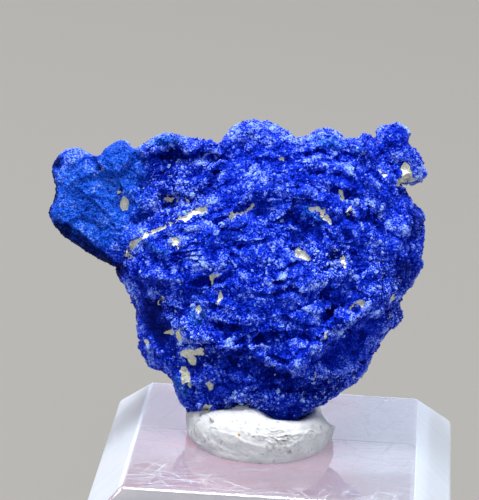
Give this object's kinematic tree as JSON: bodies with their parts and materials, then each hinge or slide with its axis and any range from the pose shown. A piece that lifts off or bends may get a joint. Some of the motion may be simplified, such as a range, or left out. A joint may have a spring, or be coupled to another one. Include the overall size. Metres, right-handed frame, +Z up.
{
  "type": "azurite specimen",
  "caption": "Domed azurite rosette with a flat side wing and a small sprig, seated in a putty pad on a bevelled clear display block.",
  "frame": {"origin": "centre of the display block's underside", "axes": "+Z up, -Y out of the specimen's face towards the viewer, +X to the viewer's right; the block's sides lie along X and Y"},
  "size_m": [0.0375, 0.0318, 0.0466],
  "materials": {
    "azurite": "drusy crystal crust with pale clay in its pits",
    "putty": "matt, finger-marked",
    "acrylic": "polished clear, lightly scratched"
  },
  "bodies": {
    "root": {"azurite_specimen": "azurite", "putty_pad": "putty", "display_block": "acrylic"}
  },
  "joints": []
}
